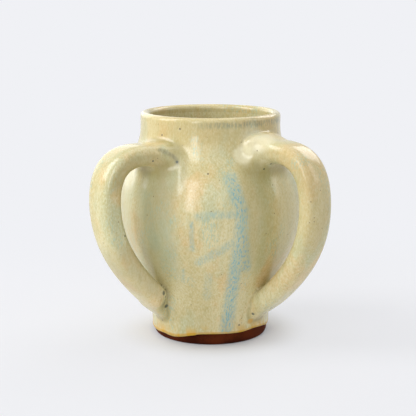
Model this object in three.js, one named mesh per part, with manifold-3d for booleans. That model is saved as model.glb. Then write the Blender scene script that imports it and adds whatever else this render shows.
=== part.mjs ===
// A two-handled hand washing cup: a thrown stoneware pot with two pulled strap handles stuck on
// with slip, glazed inside and out down to a bare foot.
// Millimetres, +Z up. The origin is the middle of the flat underside, and the handles stand
// forward of the cup's sides, towards -Y, with +X to the right.
import * as THREE from 'three';
import { mergeVertices } from 'three/addons/utils/BufferGeometryUtils.js';
import Module from 'manifold-3d';

// Gaps and coats
const CLEARANCE = 0.3; // between neighbouring pieces
const GLAZE_THICKNESS = 0.6;
const SLIP_THICKNESS = 0.8; // between a handle's end and the wall

// The thrown pot, as bare clay
const RIM_HEIGHT = 129.1;
const NECK_LENGTH = 7; // the straight part below the rim
const NECK_RADIUS = 39.3;
const BELLY_RADIUS = 53.6;
const BELLY_HEIGHT = 76;
const HEEL_RADIUS = 33.5;
const HEEL_HEIGHT = 8;
const FOOT_RADIUS = 33.2;
const FOOT_BEVEL = 2;
const GLAZE_LINE_HEIGHT = 5; // the foot is bare below it
const WALL_AT_LIP = 3.2;
const WALL_AT_FLOOR = 6;
const FLOOR_THICKNESS = 8;
const BOWL_RISE = 13; // height of the round corner between floor and wall

// How far the wall's curve keeps its upright start, above and below each of its heights
const HEEL_LEAD = 27;
const BELLY_LEAD_BELOW = 28;
const BELLY_LEAD_ABOVE = 22;
const NECK_LEAD = 18;

// The path of each handle, on an upright half plane through the cup's axis
const FINGER_GAP = 14.5; // between the belly and the strap, glaze to glaze
const WIDEST_POINT_RISE = 8.6; // above the belly's widest point
const UPPER_ROOT_SLOPE = 15; // degrees up from level, going out
const UPPER_ROOT_LEAD = 26.7;
const UPPER_BEND_LEAD = 27.7;
const LOWER_BEND_LEAD = 27.9;
const LOWER_ROOT_RISE = 11.1; // above the heel
const LOWER_ROOT_SLOPE = 36;
const LOWER_ROOT_LEAD = 39.9;
const ROOT_DEPTH = 9; // how far behind the wall's face the path starts, before its end is cut

// The strap's section over its glaze, and the length over which it changes to each root
const MIDDLE_SECTION = { width: 20, thickness: 12.3 };
const LOWER_ROOT_SECTION = { width: 14.5, thickness: 11 };
const UPPER_FLARE_LENGTH = 13;
const LOWER_TAPER_LENGTH = 16;
const LOWER_SWING_LENGTH = 20;
const SECTION_POWER = 3; // 2 is an ellipse, and more is squarer

// How far below the rim each handle's upper root is, its section there, and its degrees round
// from -Y: the upper root, the two values that the strap bends towards on its way, the lower root.
// The swing is how many degrees more its lower end turns sideways, just before it meets the wall.
const HANDLES = [
  {
    name: 'left', side: -1, drop: 20.3, root: { width: 25, thickness: 14 },
    turns: [37, 62.4, 40.5, 43.3], swing: 12,
  },
  {
    name: 'right', side: 1, drop: 18, root: { width: 28, thickness: 21 },
    turns: [42, 52.8, 46.9, 50.1], swing: 0,
  },
];

// Fineness of the facets
const AROUND = 36;
const CURVE_STEPS = 6;
const LIP_STEPS = 4;
const BOWL_STEPS = 4;
const STRAP_SIDES = 16;
const STRAP_STEPS = 22;

const CLAY = { color: 0x7a4630, roughness: 0.85 };
const SLIP = { color: 0x8a5a40, roughness: 0.9 };
const GLAZE = { color: 0xd6cba0, roughness: 0.15 };
const LINER = { color: 0xa9a06c, roughness: 0.2 };

const COAT = CLEARANCE + GLAZE_THICKNESS;
const SEAT = CLEARANCE + SLIP_THICKNESS + CLEARANCE; // from the wall to a handle's end

const wasm = await Module();
wasm.setup();

// A three.js geometry as a solid that can be cut and joined
function solid(geometry) {
  geometry.deleteAttribute('normal');
  geometry.deleteAttribute('uv');
  const merged = mergeVertices(geometry, 1e-4);
  const corners = merged.getIndex().array;
  const triangles = [];
  for (let i = 0; i < corners.length; i += 3) {
    const [a, b, c] = [corners[i], corners[i + 1], corners[i + 2]];
    if (a !== b && b !== c && c !== a) triangles.push(a, b, c);
  }
  return new wasm.Manifold(new wasm.Mesh({
    numProp: 3,
    vertProperties: Float32Array.from(merged.getAttribute('position').array),
    triVerts: Uint32Array.from(triangles),
  }));
}

// A solid as a named mesh
function piece(name, shape, finish) {
  const { vertProperties, triVerts } = shape.getMesh();
  const geometry = new THREE.BufferGeometry();
  geometry.setAttribute('position', new THREE.BufferAttribute(vertProperties, 3));
  geometry.setIndex(new THREE.BufferAttribute(triVerts, 1));
  geometry.computeVertexNormals();
  const mesh = new THREE.Mesh(geometry, new THREE.MeshStandardMaterial({ ...finish, metalness: 0 }));
  mesh.name = name;
  return mesh;
}

// A closed profile of radius and height, turned about the cup's axis
function turned(profile) {
  const geometry = new THREE.LatheGeometry([...profile, profile[0]], AROUND);
  return solid(geometry.rotateX(Math.PI / 2));
}

function at(radius, height) {
  return new THREE.Vector2(radius, height);
}

// The clay's outside, from the foot's edge up to the end of the straight neck
function outsideLine() {
  const neckHeight = RIM_HEIGHT - NECK_LENGTH;
  const heel = at(HEEL_RADIUS, HEEL_HEIGHT);
  const belly = at(BELLY_RADIUS, BELLY_HEIGHT);
  const neck = at(NECK_RADIUS, neckHeight);
  const lower = new THREE.CubicBezierCurve(
    heel,
    at(HEEL_RADIUS, HEEL_HEIGHT + HEEL_LEAD),
    at(BELLY_RADIUS, BELLY_HEIGHT - BELLY_LEAD_BELOW),
    belly,
  );
  const upper = new THREE.CubicBezierCurve(
    belly,
    at(BELLY_RADIUS, BELLY_HEIGHT + BELLY_LEAD_ABOVE),
    at(NECK_RADIUS, neckHeight - NECK_LEAD),
    neck,
  );
  return [
    at(FOOT_RADIUS, FOOT_BEVEL),
    at(FOOT_RADIUS, GLAZE_LINE_HEIGHT),
    ...lower.getPoints(CURVE_STEPS),
    ...upper.getPoints(CURVE_STEPS).slice(1),
  ];
}

// A line moved sideways, away from the clay, by one distance or by one for each point.
// The clay lies on the left of a line that runs up the outside and down the inside.
function moved(line, distance) {
  return line.map((point, i) => {
    const before = line[Math.max(i - 1, 0)];
    const after = line[Math.min(i + 1, line.length - 1)];
    const along = after.clone().sub(before).normalize();
    const step = typeof distance === 'number' ? distance : distance(point);
    return at(Math.max(point.x + along.y * step, 0), point.y - along.x * step);
  });
}

// The clay's round lip, from the outside over the top
function lipLine() {
  const radius = WALL_AT_LIP / 2;
  const arc = new THREE.Path();
  arc.absarc(NECK_RADIUS - radius, RIM_HEIGHT - radius, radius, 0, Math.PI, false);
  return arc.getPoints(LIP_STEPS);
}

// The clay's inside, from below the lip down to the middle of the floor
function insideLine(outside) {
  const wall = (point) => -THREE.MathUtils.mapLinear(
    point.y, HEEL_HEIGHT, RIM_HEIGHT, WALL_AT_FLOOR, WALL_AT_LIP,
  );
  const side = moved(outside, wall).filter((point) => point.y > FLOOR_THICKNESS + BOWL_RISE).reverse();
  const corner = side.at(-1);
  const bowl = new THREE.QuadraticBezierCurve(corner, at(corner.x, FLOOR_THICKNESS), at(0, FLOOR_THICKNESS));
  return [...side, ...bowl.getPoints(BOWL_STEPS).slice(1)];
}

const outside = outsideLine();
const lip = lipLine();
const inside = insideLine(outside);

// Everything within the outside line, moved out by a distance, with the cup's hollow filled in
function filled(distance) {
  const line = moved([...outside, at(NECK_RADIUS, RIM_HEIGHT)], distance);
  return turned([at(0, 0), at(line[0].x, 0), ...line, at(0, line.at(-1).y)]);
}

// The clay wall and floor
function pot() {
  return turned([at(0, 0), at(FOOT_RADIUS - FOOT_BEVEL, 0), ...outside, ...lip, ...inside]);
}

// A coat on part of the clay's surface
function coat(line, first, last) {
  const part = (distance) => moved(line, distance).slice(first, last);
  return turned([...part(COAT), ...part(CLEARANCE).reverse()]);
}

function wallRadius(height) {
  const above = outside.findIndex((point) => point.y > height);
  const [low, high] = [outside[above - 1], outside[above]];
  return THREE.MathUtils.mapLinear(height, low.y, high.y, low.x, high.x);
}

// A root of the strap's path: a point on the wall, and the way out from it
function root(height, slope) {
  const angle = THREE.MathUtils.degToRad(slope);
  return { point: at(wallRadius(height), height), way: at(Math.cos(angle), Math.sin(angle)) };
}

// The middle line of a handle, as radius and height, from its upper to its lower root
function strapPath(drop) {
  const reach = BELLY_RADIUS + COAT + FINGER_GAP + MIDDLE_SECTION.thickness / 2;
  const widestHeight = BELLY_HEIGHT + WIDEST_POINT_RISE;
  const upper = root(RIM_HEIGHT - drop, UPPER_ROOT_SLOPE);
  const lower = root(HEEL_HEIGHT + LOWER_ROOT_RISE, LOWER_ROOT_SLOPE);
  const start = upper.point.clone().addScaledVector(upper.way, -ROOT_DEPTH);
  const end = lower.point.clone().addScaledVector(lower.way, -ROOT_DEPTH);
  const path = new THREE.CurvePath();
  path.add(new THREE.CubicBezierCurve(
    start,
    start.clone().addScaledVector(upper.way, UPPER_ROOT_LEAD),
    at(reach, widestHeight + UPPER_BEND_LEAD),
    at(reach, widestHeight),
  ));
  path.add(new THREE.CubicBezierCurve(
    at(reach, widestHeight),
    at(reach, widestHeight - LOWER_BEND_LEAD),
    end.clone().addScaledVector(lower.way, LOWER_ROOT_LEAD),
    end,
  ));
  return path;
}

// The value at t of the cubic Bezier curve over four values
function bezier([first, second, third, last], t) {
  const s = 1 - t;
  return first * s ** 3 + 3 * second * s * s * t + 3 * third * s * t * t + last * t ** 3;
}

// The width or thickness, at a length along its path, of a strap with a given upper root
function sectionSize(key, upperRoot, length, total) {
  const upper = 1 - THREE.MathUtils.smoothstep(length - ROOT_DEPTH, 0, UPPER_FLARE_LENGTH);
  const lower = 1 - THREE.MathUtils.smoothstep(total - length - ROOT_DEPTH, 0, LOWER_TAPER_LENGTH);
  return MIDDLE_SECTION[key]
    + (upperRoot[key] - MIDDLE_SECTION[key]) * upper
    + (LOWER_ROOT_SECTION[key] - MIDDLE_SECTION[key]) * lower;
}

// A handle with whole ends, its section moved out by a distance from the clay's surface
function strap({ side, drop, root: upperRoot, turns, swing }, distance) {
  const path = strapPath(drop);
  const total = path.getLength();
  const geometry = new THREE.CylinderGeometry(1, 1, 1, STRAP_SIDES, STRAP_STEPS);
  const position = geometry.getAttribute('position');
  const squared = (value) => Math.sign(value) * Math.abs(value) ** (2 / SECTION_POWER);
  for (let i = 0; i < position.count; i += 1) {
    const t = THREE.MathUtils.clamp(0.5 - position.getY(i), 0, 1);
    const middle = path.getPoint(t);
    const along = path.getTangent(t);
    const swung = 1 - THREE.MathUtils.smoothstep((1 - t) * total - ROOT_DEPTH, 0, LOWER_SWING_LENGTH);
    const turn = THREE.MathUtils.degToRad(bezier(turns, t) + swing * swung);
    const size = (key) => sectionSize(key, upperRoot, t * total, total) / 2 - COAT + distance;
    const across = side * squared(position.getX(i)) * size('width');
    const out = squared(position.getZ(i)) * size('thickness');
    const radius = middle.x - along.y * out;
    const height = middle.y + along.x * out;
    position.setXYZ(
      i,
      side * (radius * Math.sin(turn) + across * Math.cos(turn)),
      -radius * Math.cos(turn) + across * Math.sin(turn),
      height,
    );
  }
  return solid(geometry);
}

const cup = new THREE.Group();

cup.add(piece('stoneware_pot', pot(), CLAY));

const skin = [...outside, ...lip, at(lip.at(-1).x, lip.at(-1).y - CLEARANCE), ...inside];
const lipEnd = outside.length + lip.length;
let outerGlaze = coat(skin, 1, lipEnd);
for (const handle of HANDLES) {
  const clay = strap(handle, 0);
  const slip = clay.intersect(filled(CLEARANCE + SLIP_THICKNESS).subtract(filled(CLEARANCE)));
  const [upperSlip, lowerSlip] = slip.splitByPlane([0, 0, 1], BELLY_HEIGHT);
  cup.add(piece(`${handle.name}_handle`, clay.subtract(filled(SEAT)), CLAY));
  cup.add(piece(`${handle.name}_upper_slip_joint`, upperSlip, SLIP));
  cup.add(piece(`${handle.name}_lower_slip_joint`, lowerSlip, SLIP));
  const sleeve = strap(handle, COAT).subtract(filled(COAT - GLAZE_THICKNESS / 2));
  outerGlaze = outerGlaze.add(sleeve).subtract(strap(handle, CLEARANCE));
}
cup.add(piece('outer_glaze', outerGlaze, GLAZE));
cup.add(piece('inner_glaze', coat(skin, lipEnd, skin.length), LINER));

export default cup;
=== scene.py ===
import math
import bmesh
import bpy
import numpy as np
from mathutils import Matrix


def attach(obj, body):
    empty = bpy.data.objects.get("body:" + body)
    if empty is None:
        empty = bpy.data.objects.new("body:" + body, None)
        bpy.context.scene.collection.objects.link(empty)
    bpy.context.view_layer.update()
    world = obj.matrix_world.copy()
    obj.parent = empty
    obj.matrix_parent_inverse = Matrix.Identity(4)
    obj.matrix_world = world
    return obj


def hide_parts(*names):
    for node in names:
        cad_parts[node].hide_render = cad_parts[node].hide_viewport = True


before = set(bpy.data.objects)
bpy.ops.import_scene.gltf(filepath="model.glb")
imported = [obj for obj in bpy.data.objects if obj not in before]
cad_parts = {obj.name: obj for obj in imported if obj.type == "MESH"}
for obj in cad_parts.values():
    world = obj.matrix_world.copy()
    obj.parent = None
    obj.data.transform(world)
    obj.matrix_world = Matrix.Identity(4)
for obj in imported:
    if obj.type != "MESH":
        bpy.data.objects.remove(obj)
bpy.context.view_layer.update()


# The stoneware pot. Iron-rich clay thrown on the wheel in one piece: a heel that swells into a
# round belly and draws in to a straight neck with a rounded lip. Only its flat foot is left bare.
# Geometry Nodes turn it from a half section, with the spiral that rising fingers leave in the wall.

rim_height = 0.1291
neck_length = 0.007
neck_radius = 0.0393
neck_lead = 0.018
belly_radius = 0.0536
belly_height = 0.076
belly_lead_up, belly_lead_down = 0.022, 0.028
heel_radius = 0.0335
heel_height = 0.008
heel_lead = 0.027
foot_radius = 0.0332
foot_height = 0.006
standing_radius = 0.0311
foot_rounding_height = 0.0034
foot_rounding_lead = 0.0012
wall_at_lip = 0.0032
wall_at_floor = 0.006
floor_thickness = 0.008
bowl_rise = 0.013
bowl_lead = 0.667
wall_steps, bowl_steps, foot_edge_steps = 34, 16, 7
turning_steps = 240
ring_depth = 0.00012
ring_pitch = 0.0085
rings_from, rings_to = 0.012, 0.118
rings_beyond_radius = 0.03
weld = 0.000001


def bent(p0, p1, p2, p3, steps):
    """Points along a cubic Bezier curve, both ends included."""
    t = np.linspace(0, 1, steps + 1)[:, None]
    p0, p1, p2, p3 = (np.array(p, float) for p in (p0, p1, p2, p3))
    return (1 - t) ** 3 * p0 + 3 * (1 - t) ** 2 * t * p1 + 3 * (1 - t) * t ** 2 * p2 + t ** 3 * p3


def moved(line, distance):
    """A line of radius and height moved sideways, away from the clay."""
    ahead = np.vstack([line[1:], line[-1:]])
    behind = np.vstack([line[:1], line[:-1]])
    along = ahead - behind
    along /= np.linalg.norm(along, axis=1)[:, None]
    out = line + np.stack([along[:, 1], -along[:, 0]], 1) * np.reshape(distance, (-1, 1))
    out[:, 0] = np.maximum(out[:, 0], 0)
    return out


neck_height = rim_height - neck_length
lower_wall = bent(
    (heel_radius, heel_height), (heel_radius, heel_height + heel_lead),
    (belly_radius, belly_height - belly_lead_down), (belly_radius, belly_height), wall_steps,
)
upper_wall = bent(
    (belly_radius, belly_height), (belly_radius, belly_height + belly_lead_up),
    (neck_radius, neck_height - neck_lead), (neck_radius, neck_height), wall_steps,
)
clay_outside = np.vstack([
    [(foot_radius, foot_rounding_height), (foot_radius, foot_height)], lower_wall, upper_wall[1:],
])
half_turn = np.linspace(0, math.pi, 13)
lip_radius = wall_at_lip / 2
clay_lip = np.stack([
    neck_radius - lip_radius + lip_radius * np.cos(half_turn),
    rim_height - lip_radius + lip_radius * np.sin(half_turn),
], 1)
wall = np.interp(clay_outside[:, 1], (heel_height, rim_height), (wall_at_floor, wall_at_lip))
inner_side = moved(clay_outside, -wall)
inner_side = inner_side[inner_side[:, 1] > floor_thickness + bowl_rise][::-1]
corner = inner_side[-1]
round_bowl = bent(
    corner, (corner[0], corner[1] * (1 - bowl_lead) + floor_thickness * bowl_lead),
    (corner[0] * bowl_lead, floor_thickness), (0, floor_thickness), bowl_steps,
)
clay_inside = np.vstack([inner_side, round_bowl[1:]])
foot_edge = bent(
    (standing_radius, 0), (standing_radius + foot_rounding_lead, 0),
    (foot_radius, foot_rounding_height * 0.4), (foot_radius, foot_rounding_height), foot_edge_steps,
)[:-1]
underside = [(0, 0), (0.016, 0), (0.027, 0)]
pot_section = np.vstack([underside, foot_edge, clay_outside, clay_lip, clay_inside])


def wheel():
    """Geometry Nodes that turn a half section about the upright axis, as a wheel does."""
    tree = bpy.data.node_groups.new("wheel", "GeometryNodeTree")
    for name, kind in (
        ("Half Section", "Geometry"), ("Around", "Int"), ("Ring Depth", "Float"), ("Ring Pitch", "Float"),
        ("Rings From", "Float"), ("Rings To", "Float"), ("Finish", "Material"),
    ):
        tree.interface.new_socket(name, in_out="INPUT", socket_type="NodeSocket" + kind)
    tree.interface.new_socket("Turned", in_out="OUTPUT", socket_type="NodeSocketGeometry")
    given = tree.nodes.new("NodeGroupInput")

    def step(kind, settings, values):
        node = tree.nodes.new(kind)
        for key, value in settings.items():
            setattr(node, key, value)
        for key, value in values.items():
            if isinstance(value, bpy.types.NodeSocket):
                tree.links.new(value, node.inputs[key])
            else:
                node.inputs[key].default_value = value
        return node

    def maths(operation, first, second=0.0):
        return step("ShaderNodeMath", {"operation": operation}, {0: first, 1: second}).outputs[0]

    section = given.outputs["Half Section"]
    size = step("GeometryNodeAttributeDomainSize", {"component": "MESH"}, {"Geometry": section})
    rows = size.outputs["Point Count"]
    columns = maths("ADD", given.outputs["Around"], 1.0)
    grid = step("GeometryNodeMeshGrid", {}, {"Vertices X": columns, "Vertices Y": rows})
    number = step("GeometryNodeInputIndex", {}, {}).outputs[0]
    column = maths("FLOOR", maths("DIVIDE", maths("ADD", number, 0.5), rows))
    row = maths("FLOOR", maths("ADD", maths("SUBTRACT", number, maths("MULTIPLY", column, rows)), 0.5))
    place = step("GeometryNodeInputPosition", {}, {}).outputs[0]
    sample = step(
        "GeometryNodeSampleIndex", {"data_type": "FLOAT_VECTOR", "domain": "POINT"},
        {"Geometry": section, "Value": place, "Index": row},
    ).outputs[0]
    point = step("ShaderNodeSeparateXYZ", {}, {0: sample}).outputs
    turn = maths("MULTIPLY", maths("DIVIDE", column, given.outputs["Around"]), 2 * math.pi)
    rise = maths("MULTIPLY", maths("DIVIDE", point[2], given.outputs["Ring Pitch"]), 2 * math.pi)
    wave = maths("SINE", maths("ADD", rise, turn))
    middle = maths("MULTIPLY", maths("ADD", given.outputs["Rings From"], given.outputs["Rings To"]), 0.5)
    reach = maths("SUBTRACT", given.outputs["Rings To"], middle)
    away = maths("DIVIDE", maths("ABSOLUTE", maths("SUBTRACT", point[2], middle)), reach)
    cubed = maths("MULTIPLY", away, maths("MULTIPLY", away, away))
    fade = maths("SUBTRACT", 1.0, maths("MINIMUM", cubed, 1.0))
    ring = maths("MULTIPLY", maths("MULTIPLY", wave, given.outputs["Ring Depth"]), fade)
    beyond = maths("GREATER_THAN", point[0], rings_beyond_radius)
    radius = maths("MAXIMUM", maths("ADD", point[0], maths("MULTIPLY", ring, beyond)), 0.0)
    spot = step("ShaderNodeCombineXYZ", {}, {
        0: maths("MULTIPLY", radius, maths("SINE", turn)),
        1: maths("MULTIPLY", radius, maths("MULTIPLY", maths("COSINE", turn), -1.0)),
        2: point[2],
    }).outputs[0]
    net = grid.outputs["Mesh"]
    turned = step("GeometryNodeSetPosition", {}, {"Geometry": net, "Position": spot}).outputs[0]
    joined = step("GeometryNodeMergeByDistance", {}, {"Geometry": turned, "Distance": weld}).outputs[0]
    flipped = step("GeometryNodeFlipFaces", {}, {"Mesh": joined}).outputs[0]
    smooth = step("GeometryNodeSetShadeSmooth", {}, {"Geometry": flipped, "Shade Smooth": True}).outputs[0]
    real = step("GeometryNodeRealizeInstances", {}, {"Geometry": smooth}).outputs[0]
    finish = given.outputs["Finish"]
    finished = step("GeometryNodeSetMaterial", {}, {"Geometry": real, "Material": finish}).outputs[0]
    out = tree.nodes.new("NodeGroupOutput")
    tree.links.new(finished, out.inputs["Turned"])
    return tree


potters_wheel = wheel()


def thrown(name, section, finish):
    """A piece turned on the wheel from its half section, as a plain mesh."""
    points = bpy.data.meshes.new(name + "_section")
    points.from_pydata([(r, 0, z) for r, z in section], [], [])
    piece = bpy.data.objects.new(name, points)
    bpy.context.collection.objects.link(piece)
    turning = piece.modifiers.new("wheel", "NODES")
    turning.node_group = potters_wheel
    inputs = [item for item in potters_wheel.interface.items_tree if item.in_out == "INPUT"]
    sockets = {item.name: item.identifier for item in inputs}
    for key, value in (
        ("Around", turning_steps), ("Ring Depth", ring_depth), ("Ring Pitch", ring_pitch),
        ("Rings From", rings_from), ("Rings To", rings_to), ("Finish", finish),
    ):
        turning[sockets[key]] = value
    graph = bpy.context.evaluated_depsgraph_get()
    mesh = bpy.data.meshes.new_from_object(piece.evaluated_get(graph))
    piece.modifiers.clear()
    piece.data = mesh
    return piece


class Amount:
    """A number that varies over a surface: a shader socket that can be added up and multiplied."""

    def __init__(self, recipe, socket):
        self.recipe = recipe
        self.socket = socket

    def worked(self, operation, first, second):
        return self.recipe.step("ShaderNodeMath", {"operation": operation}, {0: first, 1: second})

    def __add__(self, other):
        return self.worked("ADD", self, other)

    def __rsub__(self, other):
        return self.worked("SUBTRACT", other, self)

    def __mul__(self, other):
        return self.worked("MULTIPLY", self, other)

    __radd__ = __add__
    __rmul__ = __mul__


class Recipe:
    """A clay or glaze recipe: a material whose nodes are added one step at a time."""

    def __init__(self, name):
        self.material = bpy.data.materials.new(name)
        self.material.use_nodes = True
        self.tree = self.material.node_tree
        self.tree.nodes.clear()
        self.place = self.step("ShaderNodeTexCoord", {}, {}, "Object")

    def step(self, kind, settings, values, out=0):
        """Adds a node, sets it, fills or links its sockets, and gives back one of its outputs."""
        node = self.tree.nodes.new(kind)
        for key, value in settings.items():
            setattr(node, key, value)
        for key, value in values.items():
            if isinstance(value, Amount):
                self.tree.links.new(value.socket, node.inputs[key])
            else:
                node.inputs[key].default_value = value
        return Amount(self, node.outputs[out])

    def stretched(self, across, upright, shift=0.0):
        """The place on the piece, with lengths counted in units of 1/across and 1/upright metres."""
        sizes, shifts = (across, across, upright), (shift, shift, shift)
        scaled = self.step("ShaderNodeVectorMath", {"operation": "MULTIPLY"}, {0: self.place, 1: sizes})
        return self.step("ShaderNodeVectorMath", {"operation": "ADD"}, {0: scaled, 1: shifts})

    def cloud(self, across, upright, detail=2.0, roughness=0.5, shift=0.0):
        """Soft noise from 0 to 1 with blotches about 1/across metres wide and 1/upright high."""
        return self.step("ShaderNodeTexNoise", {"noise_dimensions": "3D"}, {
            "Vector": self.stretched(across, upright, shift), "Scale": 1.0,
            "Detail": detail, "Roughness": roughness,
        })

    def between(self, amount, low, high):
        """0 below low, 1 above high and smooth in between."""
        return self.step("ShaderNodeMapRange", {"interpolation_type": "SMOOTHSTEP"}, {
            "Value": amount, "From Min": low, "From Max": high, "To Min": 0.0, "To Max": 1.0,
        })

    def over(self, mask, under, top):
        """One colour laid over another through a mask."""
        return self.step("ShaderNodeMix", {"data_type": "RGBA"}, {0: mask, 6: under, 7: top}, 2)

    def fired(self, colour, roughness, **fixed):
        """Ends the recipe with the shader. Fixed values go on its own sockets."""
        values = {"Base Color": colour, "Roughness": roughness}
        values.update({key.replace("_", " "): value for key, value in fixed.items()})
        shader = self.step("ShaderNodeBsdfPrincipled", {}, values)
        self.step_out(shader)
        return self.material

    def step_out(self, shader):
        """Makes a shader the material's surface."""
        end = self.tree.nodes.new("ShaderNodeOutputMaterial")
        self.tree.links.new(shader.socket, end.inputs["Surface"])

    def dented(self, amount, depth):
        """The shading normal of a surface that rises and falls with an amount."""
        values = {"Strength": 1.0, "Distance": depth, "Height": amount}
        return self.step("ShaderNodeBump", {}, values, "Normal")


def tone(red, green, blue):
    """A colour read as it looks, in steps of 0 to 255, as the linear value that a shader takes."""
    level = [c / 255 for c in (red, green, blue)]
    return tuple(c / 12.92 if c <= 0.04045 else ((c + 0.055) / 1.055) ** 2.4 for c in level) + (1.0,)


def clay_body(name, dark, light):
    """Unglazed stoneware: toasted brown with a fine grit and soft darker flashes."""
    recipe = Recipe(name)
    grit = recipe.cloud(1500, 1500, 3.0, 0.6)
    flash = recipe.cloud(60, 90, 2.0)
    colour = recipe.over(recipe.between(flash * 0.7 + grit * 0.3, 0.35, 0.62), dark, light)
    rough = 0.62 + 0.2 * grit
    grit_depth = 0.00012
    return recipe.fired(colour, rough, Specular_IOR_Level=0.06, Normal=recipe.dented(grit, grit_depth))


bare_clay = clay_body("bare_stoneware", tone(56, 19, 5), tone(90, 38, 15))
pot = thrown("stoneware_pot_clay", pot_section, bare_clay)
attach(pot, "root")
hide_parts("stoneware_pot")


# The two handles under their glaze. Each is a strap of the same clay, pulled wet by hand, and its
# ends are stuck to the scored wall with slip, a cream of clay and water that fires as one with it.

slip_clay = clay_body("joining_slip", tone(96, 52, 34), tone(124, 74, 50))
for name in ("left_handle", "right_handle"):
    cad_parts[name].material_slots[0].material = bare_clay
for side in ("left", "right"):
    for end in ("upper", "lower"):
        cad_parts[f"{side}_{end}_slip_joint"].material_slots[0].material = slip_clay


# The liner glaze. The same glaze poured inside and swirled, so it is a smooth thin coat that meets
# the outer glaze just inside the lip. It turns a darker olive on its way down, partly its own colour
# and partly painted shade inside the cup.

glaze_gap = 0.0003
glaze_thickness = 0.0006
coat = glaze_gap + glaze_thickness
seam_height = 0.1256
seam_gap = 0.00003
seam_edge = 0.00006
seam_margin = 0.0002
shade_inside_below = 0.098


class Glaze(Recipe):
    """A glossy stoneware glaze that breaks from khaki to cream, peach and celadon in fine streaks."""

    def __init__(self, name):
        super().__init__(name)
        self.height = self.step("ShaderNodeSeparateXYZ", {}, {0: self.place}, 2)
        self.strands = self.cloud(620, 120, 3.0, 0.62)
        self.flecks = self.cloud(1150, 420, 2.0, 0.6, 4.0)
        thick = self.between(self.cloud(40, 22, 3.0, 0.55), 0.38, 0.62)
        self.colour = self.over(thick, tone(204, 191, 141), tone(216, 206, 160))
        celadon = self.between(self.cloud(46, 20, 3.0, 0.6, 31.0), 0.47, 0.64)
        self.laid(celadon * 0.6, 184, 190, 152)
        peach = self.between(self.cloud(52, 34, 3.0, 0.6, 11.0), 0.5, 0.68)
        self.laid(peach * 0.6, 218, 185, 128)
        self.laid(self.between(self.strands, 0.48, 0.7) * 0.3, 172, 160, 98)
        grain = self.cloud(1300, 620, 3.0, 0.65, 15.0)
        self.laid(self.between(grain, 0.5, 0.66) * 0.36, 178, 154, 80)
        self.laid(self.between(grain, 0.5, 0.34) * 0.36, 222, 220, 186)

    def laid(self, mask, red, green, blue):
        """Lays one more tone over the glaze's colour through a mask."""
        self.colour = self.over(mask, self.colour, tone(red, green, blue))

    def spot(self, x, y, z, size):
        """1 in a round spot about a point in millimetres, with a soft edge."""
        away = self.step("ShaderNodeVectorMath", {"operation": "DISTANCE"}, {
            0: self.place, 1: (x / 1000, y / 1000, z / 1000),
        }, "Value")
        return 1.0 - self.between(away, size / 2000, size / 1000)

    def carried(self, name):
        """A number that the mesh carries at each point."""
        settings = {"attribute_type": "GEOMETRY", "attribute_name": name}
        return self.step("ShaderNodeAttribute", settings, {}, "Fac")

    def specked(self, spacing, size, colour):
        """Iron specks that melted out of the clay."""
        far = self.step("ShaderNodeTexVoronoi", {"feature": "F1"}, {
            "Vector": self.stretched(1 / spacing, 0.7 / spacing, 3.0), "Scale": 1.0, "Randomness": 1.0,
        }, "Distance")
        rare = self.between(self.cloud(130, 130, 2.0, 0.5, 41.0), 0.46, 0.54)
        dark = 1.0 - self.between(far, size / spacing * 0.4, size / spacing)
        self.colour = self.over(dark * rare * 0.7, self.colour, colour)

    def glossy(self):
        """Ends the recipe with a glossy shader that is faintly uneven, as a fired glaze is."""
        rough = 0.12 + 0.1 * self.strands
        relief = self.flecks * 0.4 + self.cloud(110, 60, 1.0, 0.5, 70.0) * 2.2
        relief_depth = 0.00006
        return self.fired(self.colour, rough, Normal=self.dented(relief, relief_depth))


liner_glaze = Glaze("liner_glaze")
# Painted shade, partly the glaze's own olive: the liner darkens towards the bottom of the cup.
deep = 1.0 - liner_glaze.between(liner_glaze.height, shade_inside_below, seam_height)
liner_glaze.laid(deep * 0.85, 150, 142, 84)
liner_glaze.specked(0.006, 0.0005, tone(92, 84, 58))
liner_finish = liner_glaze.glossy()
below_lip = [(clay_lip[-1, 0], clay_lip[-1, 1] - glaze_gap)]
skin_line = np.vstack([clay_outside, clay_lip, below_lip, clay_inside])
inside_from = len(clay_outside) + len(clay_lip)
over = moved(skin_line, coat)[inside_from:]
over = over[over[:, 1] < seam_height - seam_margin]
under = moved(skin_line, glaze_gap)[inside_from:]
under = under[under[:, 1] < seam_height - seam_margin]
liner_top = seam_height - seam_gap
inner_radius = neck_radius - wall_at_lip - coat
outer_radius = inner_radius + glaze_thickness
just_below = liner_top - seam_edge
liner_section = np.vstack([
    [(inner_radius, liner_top), (inner_radius, just_below)], over,
    under[::-1], [(outer_radius, just_below), (outer_radius, liner_top), (inner_radius, liner_top)],
])
liner = thrown("inner_glaze_coat", liner_section, liner_finish)
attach(liner, "root")
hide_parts("inner_glaze")


# The outer glaze. The cup is dipped once its handles are on, so one skin of glass covers wall,
# straps and lip, fills the creases at the roots, and stops in a rolled wavy edge above the foot.
# Its shape is the distance to the turned wall joined smoothly with the distance to both straps.

finger_gap = 0.0145
widest_point_rise = 0.0086
upper_bend_lead, lower_bend_lead = 0.0277, 0.0279
upper_root_slope, upper_root_lead = 15, 0.0267
lower_root_slope, lower_root_lead = 36, 0.0399
lower_root_rise = 0.0111
root_depth = 0.009
strap_size = np.array([0.020, 0.0123])
lower_root_size = np.array([0.0145, 0.011])
flare_length, taper_length, swing_length = 0.013, 0.016, 0.020
squareness = 3.0
bend_steps = 300
strap_steps = 240

glazed_wall = moved(np.vstack([clay_outside, [(neck_radius, rim_height)]]), coat)


def wall_radius(height):
    """Radius of the glazed wall at a height."""
    return np.interp(height, glazed_wall[:, 1], glazed_wall[:, 0])


def wall_distance(p):
    """Distance to the glazed wall, negative inside it, worked out from how far the wall leans."""
    nudge = 0.0005
    lean = (wall_radius(p[:, 2] + nudge) - wall_radius(p[:, 2] - nudge)) / (2 * nudge)
    return (np.hypot(p[:, 0], p[:, 1]) - wall_radius(p[:, 2])) / np.sqrt(1 + lean ** 2)


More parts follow.
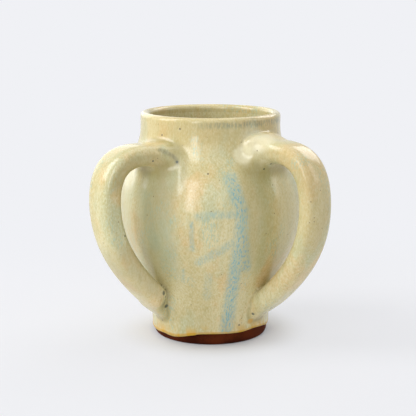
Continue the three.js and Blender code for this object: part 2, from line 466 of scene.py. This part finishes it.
def eased(value, low, high):
    """0 below low, 1 above high and smooth in between."""
    t = np.clip((value - low) / (high - low), 0, 1)
    return t * t * (3 - 2 * t)


def strap_path(drop):
    """A strap's middle line: radius and height at equal steps from the upper root to the lower."""
    def root(height, slope):
        clay_radius = np.interp(height, clay_outside[:, 1], clay_outside[:, 0])
        way = np.array([math.cos(math.radians(slope)), math.sin(math.radians(slope))])
        return np.array([clay_radius, height]) - way * root_depth, way

    reach = belly_radius + coat + finger_gap + strap_size[1] / 2
    widest = belly_height + widest_point_rise
    start, up = root(rim_height - drop, upper_root_slope)
    end, down = root(heel_height + lower_root_rise, lower_root_slope)
    line = np.vstack([
        bent(
            start, start + up * upper_root_lead,
            (reach, widest + upper_bend_lead), (reach, widest), bend_steps,
        ),
        bent(
            (reach, widest), (reach, widest - lower_bend_lead),
            end + down * lower_root_lead, end, bend_steps,
        )[1:],
    ])
    travelled = np.concatenate([[0], np.cumsum(np.linalg.norm(np.diff(line, axis=0), axis=1))])
    even = np.linspace(0, travelled[-1], strap_steps + 1)
    return even, np.stack([np.interp(even, travelled, line[:, k]) for k in (0, 1)], 1)


class Strap:
    """One handle: its path, its turn about the cup and its width and thickness along its length.
    The side is -1 at the left and 1 at the right, and the drop is how far below the rim it starts.
    The swing turns its lower end sideways just before it meets the wall. Its smear is how widely
    the wet clay and the glaze round off its creases, at each height."""

    def __init__(self, side, drop, root_size, turns, swing, smear):
        self.side = side
        self.smear = smear
        self.length, self.line = strap_path(drop)
        self.along = np.gradient(self.line, axis=0)
        self.along /= np.linalg.norm(self.along, axis=1)[:, None]
        total = self.length[-1]
        flare = 1 - eased(self.length - root_depth, 0, flare_length)[:, None]
        taper = 1 - eased(total - self.length - root_depth, 0, taper_length)[:, None]
        flared, tapered = np.array(root_size) - strap_size, lower_root_size - strap_size
        self.size = strap_size + flared * flare + tapered * taper
        share = self.length / total
        swung = swing * (1 - eased(total - self.length - root_depth, 0, swing_length))
        self.turn = np.radians(
            turns[0] * (1 - share) ** 3 + 3 * turns[1] * (1 - share) ** 2 * share
            + 3 * turns[2] * (1 - share) * share ** 2 + turns[3] * share ** 3 + swung
        )


straps = (
    Strap(side=-1, drop=0.0203, root_size=(0.025, 0.014), turns=(37, 62.4, 40.5, 43.3), swing=12, smear=(
        (0.03, 0.075, 0.095, 0.110, 0.118, 0.1235), (0.003, 0.005, 0.013, 0.008, 0.006, 0.001),
    )),
    Strap(side=1, drop=0.018, root_size=(0.028, 0.021), turns=(42, 52.8, 46.9, 50.1), swing=0, smear=(
        (0.03, 0.075, 0.092, 0.103, 0.114, 0.1235), (0.003, 0.006, 0.017, 0.014, 0.003, 0.001),
    )),
)


def strap_distance(p, strap):
    """Distance to one strap, negative inside it, or a large number for points nowhere near it."""
    side, turn, total = strap.side, strap.turn, strap.length[-1]
    out_of_reach, least_radius, furthest_back = 0.05, 0.024, 0.02
    far = np.full(len(p), out_of_reach)
    may_be_near = (np.hypot(p[:, 0], p[:, 1]) > least_radius) & (p[:, 1] < furthest_back)
    close = np.flatnonzero((p[:, 0] * side > 0) & may_be_near)
    q = p[close]
    flat = q[:, 0] * side
    best = np.full(len(q), np.inf)
    nearest = np.zeros(len(q), int)
    for i in range(len(turn)):
        radius = flat * math.sin(turn[i]) - q[:, 1] * math.cos(turn[i])
        gap = (radius - strap.line[i, 0]) ** 2 + (q[:, 2] - strap.line[i, 1]) ** 2
        closer = gap < best
        best[closer] = gap[closer]
        nearest[closer] = i
    radius = flat * np.sin(turn[nearest]) - q[:, 1] * np.cos(turn[nearest])
    ahead = ((np.stack([radius, q[:, 2]], 1) - strap.line[nearest]) * strap.along[nearest]).sum(1)
    length = np.clip(strap.length[nearest] + ahead, 0, total)

    def at(values):
        return np.interp(length, strap.length, values)

    angle = at(turn)
    radius = flat * np.sin(angle) - q[:, 1] * np.cos(angle)
    across = flat * np.cos(angle) + q[:, 1] * np.sin(angle)
    middle = np.stack([at(strap.line[:, 0]), at(strap.line[:, 1])], 1)
    along = np.stack([at(strap.along[:, 0]), at(strap.along[:, 1])], 1)
    offset = np.stack([radius, q[:, 2]], 1) - middle
    out = offset[:, 1] * along[:, 0] - offset[:, 0] * along[:, 1]
    past = (offset * along).sum(1)
    past = np.where(length <= 0, -past, np.where(length >= total, past, -1))
    w, h = at(strap.size[:, 0]) / 2, at(strap.size[:, 1]) / 2
    a, o = np.maximum(np.abs(across) / w, 1e-6), np.maximum(np.abs(out) / h, 1e-6)
    size = (a ** squareness + o ** squareness) ** (1 / squareness)
    slope = size ** (1 - squareness) * np.hypot(a ** (squareness - 1) / w, o ** (squareness - 1) / h)
    far[close] = np.maximum((size - 1) / slope, past)
    return far


smear_turn, smear_height = -38, 0.105
smear_swell = 0.0014
smear_reach_around, smear_reach_up, smear_reach_down = 0.0178, 0.0127, 0.040
smear_fades_from, smear_fades_to = 0.112, 0.080
smear_radius = 0.044


def thumbed(p):
    """How far the clay that a thumb smeared round the left upper root stands out from the wall."""
    off_turn = np.arctan2(p[:, 0], -p[:, 1]) - math.radians(smear_turn)
    around = off_turn * smear_radius / smear_reach_around
    rise = p[:, 2] - smear_height
    up = rise / np.where(rise > 0, smear_reach_up, smear_reach_down)
    pad = eased(1 - np.hypot(around, up), 0, 0.26)
    return smear_swell * pad * eased(p[:, 2], smear_fades_to, smear_fades_from)


def glaze_field(p):
    """Distance to the glazed surface, and how deep in a crease between wall and strap a point lies."""
    surface = wall_distance(p) - thumbed(p)
    crease = np.zeros(len(p))
    for strap in straps:
        away = strap_distance(p, strap)
        blend = np.interp(p[:, 2], *strap.smear)
        shared = np.maximum(blend - np.abs(surface - away), 0) / blend
        crease = np.maximum(crease, shared)
        surface = np.minimum(surface, away) - shared ** 3 * blend / 6
    return surface, crease


def skinned(low, high, cell):
    """A net of quads over the zero level of the glaze's distance, sampled on a grid of cells."""
    axes = [np.arange(a, b + cell, cell) for a, b in zip(low, high)]
    grid = np.stack(np.meshgrid(*axes, indexing="ij"), -1)
    level = glaze_field(grid.reshape(-1, 3))[0].reshape(grid.shape[:3])
    inside = level < 0
    cells = tuple(n - 1 for n in level.shape)
    total_place, count = np.zeros(cells + (3,)), np.zeros(cells)
    crossed = []
    for axis in range(3):
        near = tuple(slice(0, -1) if k == axis else slice(None) for k in range(3))
        past = tuple(slice(1, None) if k == axis else slice(None) for k in range(3))
        cut = inside[near] != inside[past]
        share = np.where(cut, level[near] / np.where(cut, level[near] - level[past], 1), 0)
        spot = grid[near] + (grid[past] - grid[near]) * share[..., None]
        spot[~cut] = 0
        b, c = (axis + 1) % 3, (axis + 2) % 3
        for db in (0, 1):
            for dc in (0, 1):
                part = [slice(None)] * 3
                part[b] = slice(1, None) if db else slice(0, -1)
                part[c] = slice(1, None) if dc else slice(0, -1)
                total_place += spot[tuple(part)]
                count += cut[tuple(part)]
        crossed.append((axis, b, c, cut, inside[near]))
    used = count > 0
    number = np.full(cells, -1)
    number[used] = np.arange(used.sum())
    points = total_place[used] / count[used][:, None]
    quads = []
    for axis, b, c, cut, solid in crossed:
        where = np.argwhere(cut)
        for k in (b, c):
            where = where[(where[:, k] > 0) & (where[:, k] < cells[k])]
        face = []
        for db, dc in ((-1, -1), (0, -1), (0, 0), (-1, 0)):
            cell_at = where.copy()
            cell_at[:, b] += db
            cell_at[:, c] += dc
            face.append(number[tuple(cell_at.T)])
        face = np.stack(face, 1)
        outward = solid[tuple(where.T)]
        face[~outward] = face[~outward][:, ::-1]
        quads.append(face)
    return points, np.vstack(quads)


def settled(points, quads, rounds):
    """Evens out a net's spacing and draws every point onto the glazed surface."""
    edges = np.vstack([quads[:, (k, (k + 1) % 4)] for k in range(4)])
    edges = np.unique(np.sort(edges, 1), axis=0)
    links = np.bincount(edges.ravel(), minlength=len(points))[:, None]
    nudge = 0.0001
    for _ in range(rounds):
        middle = np.zeros_like(points)
        np.add.at(middle, edges[:, 0], points[edges[:, 1]])
        np.add.at(middle, edges[:, 1], points[edges[:, 0]])
        points = points * 0.5 + 0.5 * middle / links
        for _ in range(2):
            level = glaze_field(points)[0]
            tilt = np.stack([
                glaze_field(points + step)[0] - glaze_field(points - step)[0] for step in np.eye(3) * nudge
            ], 1) / (2 * nudge)
            points = points - tilt * (level / np.maximum((tilt ** 2).sum(1), 0.1))[:, None]
    return points


skin_from, skin_to = 0.0095, 0.1245
skin_low, skin_high = (-0.067, -0.0645, 0.006), (0.067, 0.057, 0.128)
skin_cell = 0.00135
closest = 0.00008
points, quads = skinned(skin_low, skin_high, skin_cell)
points = settled(points, quads, 3)
skin = bmesh.new()
corners = [skin.verts.new(p) for p in points]
for quad in quads:
    skin.faces.new([corners[i] for i in quad])
for cut, cut_away in ((skin_from, -1), (skin_to, 1)):
    bmesh.ops.bisect_plane(
        skin, geom=skin.verts[:] + skin.edges[:] + skin.faces[:],
        plane_co=(0, 0, cut), plane_no=(0, 0, cut_away), clear_outer=True, dist=weld,
    )
bmesh.ops.remove_doubles(skin, verts=skin.verts[:], dist=closest)

line_turns = (
    -180, -130, -90, -70, -59, -51, -42, -35, -28, -21, -10, 2, 16, 32, 40, 48, 64, 80, 110, 145, 180,
)
line_heights_mm = (
    5.2, 4.6, 3.8, 3.8, 4.1, 4.4, 3.8, 3.9, 4.7, 5.8, 6.7, 7.0, 6.8, 6.6, 7.3, 7.5, 6.5, 5.8, 5.0, 5.6, 5.2,
)
bead = 0.0007
bead_swell = 0.00022
bead_end_rise = 0.00005
line_evening = math.radians(4.2)


def glaze_line(turn):
    """Height of the glaze's lower edge at a turn in radians from -Y, evened out over a few degrees."""
    nearby = turn + np.linspace(-line_evening, line_evening, 25)
    nearby = (nearby + math.pi) % (2 * math.pi) - math.pi
    return np.mean(np.interp(nearby, np.radians(line_turns), line_heights_mm)) / 1000


def foot_rings(turn):
    """Radius and height of each ring of the coat, down from the skin's cut to its rolled edge."""
    edge = glaze_line(turn)
    rings = []
    for share in np.linspace(0.2, 1, 5):
        height = skin_from + (edge + bead - skin_from) * share
        rings.append((wall_radius(height) + bead_swell * share ** 2, height))
    middle = wall_radius(edge + bead) + bead_swell - bead
    for angle in np.radians((22, 45, 68, 90)):
        rings.append((middle + bead * np.cos(angle), edge + bead - bead * np.sin(angle)))
    rings.append((heel_radius + glaze_gap, edge + bead_end_rise))
    return rings


def lip_rings(turn):
    """Radius and height of each ring of the coat, up from the skin's cut, over the lip and in."""
    radius = lip_radius + coat
    middle, height = neck_radius - lip_radius, rim_height - lip_radius
    rings = []
    for share in (0.33, 0.67, 1):
        rings.append((neck_radius + coat, skin_to + (height - skin_to) * share))
    for angle in np.linspace(0, math.pi, 17)[1:]:
        rings.append((middle + radius * math.cos(angle), height + radius * math.sin(angle)))
    for share in (0.33, 0.67, 0.97, 1):
        rings.append((inner_radius, height + (seam_height - height) * share))
    return rings


def placed(edges, ring_at):
    """Moves the ends of some edges to the radius and height that a ring has at their turn."""
    for v in {v for e in edges for v in e.verts}:
        turn = math.atan2(v.co.x, -v.co.y)
        radius, height = ring_at(turn)
        v.co = (radius * math.sin(turn), -radius * math.cos(turn), height)


for cut, rings_at in ((skin_from, foot_rings), (skin_to, lip_rings)):
    rim = [e for e in skin.edges if e.is_boundary and all(abs(v.co.z - cut) < 1e-5 for v in e.verts)]
    placed(rim, lambda turn: (wall_radius(cut), cut))
    for ring in range(len(rings_at(0.0))):
        made = bmesh.ops.extrude_edge_only(skin, edges=rim)["geom"]
        rim = [e for e in made if isinstance(e, bmesh.types.BMEdge) and e.is_boundary]
        placed(rim, lambda turn: rings_at(turn)[ring])
bmesh.ops.recalc_face_normals(skin, faces=skin.faces[:])
coat_mesh = bpy.data.meshes.new("outer_glaze_coat")
skin.to_mesh(coat_mesh)
skin.free()
coat_mesh.polygons.foreach_set("use_smooth", [True] * len(coat_mesh.polygons))
outer_coat = bpy.data.objects.new("outer_glaze_coat", coat_mesh)
bpy.context.collection.objects.link(outer_coat)


def for_each_point(rows, key):
    """Three numbers for each point of the coat, such as its place or the way it faces."""
    values = np.empty(len(rows) * 3)
    rows.foreach_get(key, values)
    return values.reshape(-1, 3)


place = for_each_point(coat_mesh.vertices, "co")
facing = for_each_point(coat_mesh.vertex_normals, "vector")
turns = np.arctan2(place[:, 0], -place[:, 1])
degrees = np.degrees(turns)
upright = place[:, 2]


def carry(name, values):
    """Gives the coat's mesh a number at each point, for its glaze to read."""
    numbers = coat_mesh.attributes.new(name, "FLOAT", "POINT").data
    numbers.foreach_set("value", np.asarray(values, np.float32))


def run_of_glaze(points, width):
    """1 along a line down the cup's front, given as X and Z in millimetres, and 0 beyond its width."""
    flat = place[:, (0, 2)] * 1000
    nearest = np.full(len(flat), 1e9)
    for a, b in zip(np.array(points[:-1], float), np.array(points[1:], float)):
        share = np.clip(((flat - a) @ (b - a)) / ((b - a) @ (b - a)), 0, 1)
        nearest = np.minimum(nearest, np.linalg.norm(flat - a - share[:, None] * (b - a), axis=1))
    return eased(width - nearest, 0, width * 0.75) * (place[:, 1] < -0.012)


def band(value, start, full, fading, end):
    """1 from full to fading, 0 before start and after end, and smooth in between."""
    return eased(value, start, full) * (1 - eased(value, fading, end))


# Where the glaze changes: the blue run with its side strokes, the creases, a brown drip below the
# lip, the height above the glaze's edge, painted shade on the wall beside the straps, painted light
# on the wall behind them, painted shade on the inner side of their arches, and the stretch of lip
# with smoky strands.
carry("run", np.max([strength * run_of_glaze(points, width) for strength, width, points in (
    (1, 5.6, [(11, 98), (12.5, 94), (17.2, 80), (16.4, 68), (14.2, 52), (12, 34), (10.9, 24), (8.4, 6)]),
    (1, 4.4, [(16.5, 76), (18.6, 62), (19.6, 48)]),
    (0.62, 3.4, [(-7, 78.5), (3, 80), (16, 79.5)]),
    (0.62, 3.8, [(18.6, 68), (8, 61), (-6.5, 52.5)]),
    (0.7, 1.9, [(-10.5, 75), (-10, 60)]),
    (0.6, 1.7, [(-15, 47), (-15.4, 40)]),
    (0.4, 3.5, [(-1, 44), (-2, 30)]),
    (0.42, 5, [(-35, 88), (-34, 74), (-31, 60)]),
)], axis=0))
carry("crease", glaze_field(place)[1])
carry("thumb_crease", run_of_glaze([(-27.5, 113.4), (-22, 110.9), (-18.6, 108.2), (-18, 105.8)], 1.6))
carry("umber", run_of_glaze([(23, 126), (22, 119)], 7))
even_turns = np.linspace(-math.pi, math.pi, 181)
edge_height = np.interp(turns, even_turns, [glaze_line(turn) for turn in even_turns])
carry("above_line", (upright - edge_height) * 1000)
on_wall = 1 - eased(wall_distance(place), 0.001, 0.004)
belly_wall = on_wall * band(upright, 0.030, 0.055, 0.100, 0.112)
# Painted shade: an olive tone on the wall beside each strap, where the strap's shadow falls.
left_painted_shade_starts = 16 - 6 * eased(upright, 0.085, 0.1)
carry("left_painted_shade", belly_wall * band(-degrees, left_painted_shade_starts, 26, 44, 52))
carry("right_painted_shade", belly_wall * band(degrees, 16, 24, 32, 42))
# Painted light: a pale tone on the wall behind the straps, standing in for the lit, reflecting wall seen
# through the loops.
behind_straps = band(-degrees, 50, 56, 66, 84) + 0.5 * band(degrees, 40, 50, 80, 100)
carry("painted_light_behind_straps", on_wall * behind_straps * band(upright, 0.030, 0.05, 0.098, 0.108))
# Painted shade: a darker olive on the arches' faces that turn down and inward, away from the lamps.
inward = -np.sign(place[:, 0]) * facing[:, 0] * 0.6 - facing[:, 1] * 0.8
arch = (1 - on_wall) * eased(upright, 0.088, 0.098) * np.where(place[:, 0] < 0, 1.0, 0.45)
faces_down = 1 - eased(facing[:, 2], -0.02, 0.3)
carry("painted_shade_under_arch", arch * eased(inward, 0.25, 0.7) * faces_down)
outside_lip = np.hypot(place[:, 0], place[:, 1]) > neck_radius - 0.0005
carry("ring_side", band(degrees, -25, 15, 70, 85) * outside_lip)

# The tones laid over the cream: broad ones first, among them painted shade and painted light about the
# straps, then patches, some of them painted highlights and painted shade, dark dots, the amber edge,
# the smoky strands below the lip, brown dots and iron specks.
outer_glaze = Glaze("cream_celadon_glaze")
strand = outer_glaze.between(outer_glaze.strands, 0.38, 0.62)
fleck = outer_glaze.between(outer_glaze.flecks, 0.48, 0.62)
run = outer_glaze.carried("run")
thin_neck = outer_glaze.between(outer_glaze.height, 0.108, 0.119)
outer_glaze.laid(thin_neck * 0.34, 194, 172, 112)
outer_glaze.laid(outer_glaze.carried("umber") * (0.35 + 0.65 * strand) * 0.42, 152, 130, 84)
outer_glaze.laid(run * (0.5 + 0.5 * strand) * 0.72, 160, 184, 168)
outer_glaze.laid(run * run * fleck * 0.85, 120, 171, 184)
# Painted shade on the wall beside the left and the right strap.
outer_glaze.laid(outer_glaze.carried("left_painted_shade") * 0.55, 166, 171, 138)
outer_glaze.laid(outer_glaze.carried("right_painted_shade") * 0.42, 158, 148, 96)
# Painted shade under the arches.
outer_glaze.laid(outer_glaze.carried("painted_shade_under_arch") * 0.5, 146, 138, 84)
# Painted light on the wall behind the straps.
outer_glaze.laid(outer_glaze.carried("painted_light_behind_straps") * (0.3 + 0.35 * strand), 214, 214, 182)
loose = outer_glaze.between(outer_glaze.cloud(70, 34, 2.0, 0.5, 57.0), 0.54, 0.68)
outer_glaze.laid(loose * fleck * 0.5, 160, 188, 168)
pooled = outer_glaze.between(outer_glaze.carried("crease"), 0.3, 0.95)
outer_glaze.laid(pooled * 0.6, 154, 142, 84)
outer_glaze.laid(outer_glaze.carried("thumb_crease") * (0.65 + 0.35 * strand) * 0.55, 106, 104, 78)
# Patches: painted highlights on the right upper root's knob, partly a paler thick glaze, then painted shade
# on the lower part of the left strap and on the right strap's outer face.
for x, y, z, size, share, shade in (
    (17.6, -40.1, 110.4, 7, 0.5, (236, 230, 196)),
    (26.3, -38.6, 119.3, 12, 0.5, (236, 230, 196)),
    (-42, -53, 46, 24, 0.4, (184, 164, 114)),
    (55, -58, 84, 36, 0.25, (186, 166, 116)),
):
    outer_glaze.laid(outer_glaze.spot(x, y, z, size) * share, *shade)
for x, y, z, size in (
    (-25.9, -40.9, 32.9, 1.7), (-25.6, -38.6, 30.2, 1.1), (-25.5, -36.4, 27.6, 0.9),
    (-25.4, -31.8, 24.4, 1.1), (-25.3, -27.7, 21.7, 1.6), (-46.1, -53.8, 68.2, 0.8),
    (-18.2, -42.8, 106.8, 1), (-31.1, -45, 107.6, 0.7), (24.1, -29.5, 17.5, 1.2),
    (34.1, -33.5, 22.2, 0.8), (29.1, -40.3, 102.5, 0.7), (32.8, -40.3, 105.3, 0.8),
):
    outer_glaze.laid(outer_glaze.spot(x, y, z, size) * 0.8, 66, 76, 70)
amber = outer_glaze.between(outer_glaze.cloud(150, 60, 2.0, 0.5, 63.0), 0.42, 0.58)
above_line = outer_glaze.carried("above_line")
broad_edge = 1.0 - outer_glaze.between(above_line, 0.8, 6.5)
outer_glaze.laid(broad_edge * amber * 0.8, 212, 172, 86)
ochre_edge = 1.0 - outer_glaze.between(above_line, 0.8, 1.8)
outer_glaze.laid(ochre_edge * (0.7 + 0.3 * amber), 204, 158, 44)
outer_glaze.laid(outer_glaze.spot(22.8, -26.6, 12.4, 2.4) * 0.7, 208, 160, 66)
over_neck = outer_glaze.between(outer_glaze.height, 0.1232, 0.126)
over_lip = outer_glaze.between(outer_glaze.height, 0.127, 0.1284)
under_lip = over_neck * (1.0 - over_lip) * outer_glaze.carried("ring_side")
smoke = outer_glaze.between(outer_glaze.cloud(900, 260, 3.0, 0.6, 77.0), 0.36, 0.62)
outer_glaze.laid(under_lip * smoke * 0.6, 128, 136, 116)
for x, y, z in (
    (-16.7, -36.6, 124), (-26.7, -30.1, 119.8), (-1.4, -47.1, 100.9),
    (16.2, -30.4, 11.3), (-27.4, -21, 11.4),
):
    outer_glaze.laid(outer_glaze.spot(x, y, z, 0.75) * 0.75, 92, 76, 62)
outer_glaze.specked(0.0045, 0.00042, tone(108, 84, 48))
coat_mesh.materials.append(outer_glaze.glossy())
thick = outer_coat.modifiers.new("thickness", "SOLIDIFY")
thick.thickness = glaze_thickness
thick.offset = -1
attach(outer_coat, "root")
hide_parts("outer_glaze")


# The studio: a white table that runs back out of sight, a strong tall soft box at the left, a narrow
# strip and a broad box in front, a weak one at the right, two behind and two above, and the camera,
# which looks a little down. The table glows like the air around it, but keeps the cup's shadow.

far = 30
table = bpy.data.meshes.new("table")
corners = [(-far, -far, 0), (far, -far, 0), (far, far, 0), (-far, far, 0)]
table.from_pydata(corners, [], [(0, 1, 2, 3)])
floor = bpy.data.objects.new("table", table)
bpy.context.collection.objects.link(floor)
pale_air = tone(240, 241, 245)
paper = Recipe("white_table")
seen = paper.step("ShaderNodeLightPath", {}, {}, "Is Camera Ray")
mirrored = paper.step("ShaderNodeLightPath", {}, {}, "Is Glossy Ray")
shaded = paper.step("ShaderNodeBsdfDiffuse", {}, {"Color": tone(232, 232, 234)})
near = paper.step("ShaderNodeBsdfDiffuse", {}, {"Color": tone(216, 216, 218)})
glow = paper.step("ShaderNodeEmission", {}, {"Color": pale_air, "Strength": 1.0})
away = paper.step("ShaderNodeVectorMath", {"operation": "LENGTH"}, {0: paper.place}, "Value")
glowing = 0.16 + 0.5 * paper.between(away, 0.032, 0.06) + 0.34 * paper.between(away, 0.06, 0.35)
pale = paper.step("ShaderNodeMixShader", {}, {0: glowing, 1: near, 2: glow})
watched = paper.step("ShaderNodeMath", {"operation": "MAXIMUM"}, {0: seen, 1: mirrored})
paper.step_out(paper.step("ShaderNodeMixShader", {}, {0: watched, 1: shaded, 2: pale}))
table.materials.append(paper.material)

world = bpy.data.worlds.new("studio")
bpy.context.scene.world = world
world.use_nodes = True
world.node_tree.nodes.clear()
air = world.node_tree
rays = air.nodes.new("ShaderNodeLightPath")
dim = air.nodes.new("ShaderNodeBackground")
dim.inputs["Color"].default_value = (1, 1, 1, 1)
dim.inputs["Strength"].default_value = 0.13
bright = air.nodes.new("ShaderNodeBackground")
bright.inputs["Color"].default_value = pale_air
choose = air.nodes.new("ShaderNodeMixShader")
end = air.nodes.new("ShaderNodeOutputWorld")
either = air.nodes.new("ShaderNodeMath")
either.operation = "MAXIMUM"
air.links.new(rays.outputs["Is Camera Ray"], either.inputs[0])
air.links.new(rays.outputs["Is Glossy Ray"], either.inputs[1])
air.links.new(either.outputs[0], choose.inputs[0])
air.links.new(dim.outputs[0], choose.inputs[1])
air.links.new(bright.outputs[0], choose.inputs[2])
air.links.new(choose.outputs[0], end.inputs["Surface"])

# Each soft box's turn from the camera's side and rise above level are in degrees, its distance and
# size in metres and its power in watts. All of them face the cup's middle.
aimed_at = np.array([0, 0, 0.07])
for name, turn, rise, distance, width, height, watts in (
    ("left_softbox", -82, 38, 1.3, 0.6, 1.1, 12.2),
    ("front_strip", -25, 22, 1.6, 0.32, 1.2, 7.2),
    ("front_softbox", 2, 30, 1.7, 1.0, 0.9, 3.3),
    ("right_softbox", 84, 26, 1.4, 0.6, 0.8, 2.7),
    ("back_left_softbox", -146, 24, 1.6, 1.5, 1.2, 7),
    ("back_softbox", 136, 38, 1.3, 0.75, 0.65, 5.4),
    ("top_softbox", -20, 74, 1.3, 1.1, 0.9, 3.6),
    ("top_back_softbox", 130, 74, 1.3, 0.9, 0.8, 2.6),
):
    light = bpy.data.lights.new(name, "AREA")
    light.shape = "RECTANGLE"
    light.size, light.size_y = width, height
    light.energy = watts
    box = bpy.data.objects.new(name, light)
    bpy.context.collection.objects.link(box)
    around, up = math.radians(turn), math.radians(rise)
    level = math.cos(up)
    way = np.array([math.sin(around) * level, -math.cos(around) * level, math.sin(up)])
    box.location = way * distance + aimed_at
    box.rotation_euler = (math.radians(90 - rise), 0, around)

eye = bpy.data.cameras.new("camera")
eye.lens = 98.57
eye.sensor_width = 36
camera = bpy.data.objects.new("camera", eye)
bpy.context.collection.objects.link(camera)
camera.location = (-0.00143, -0.653, 0.200)
camera.rotation_euler = (math.radians(79), 0, 0)
bpy.context.scene.camera = camera
bpy.context.scene.view_settings.view_transform = "Standard"
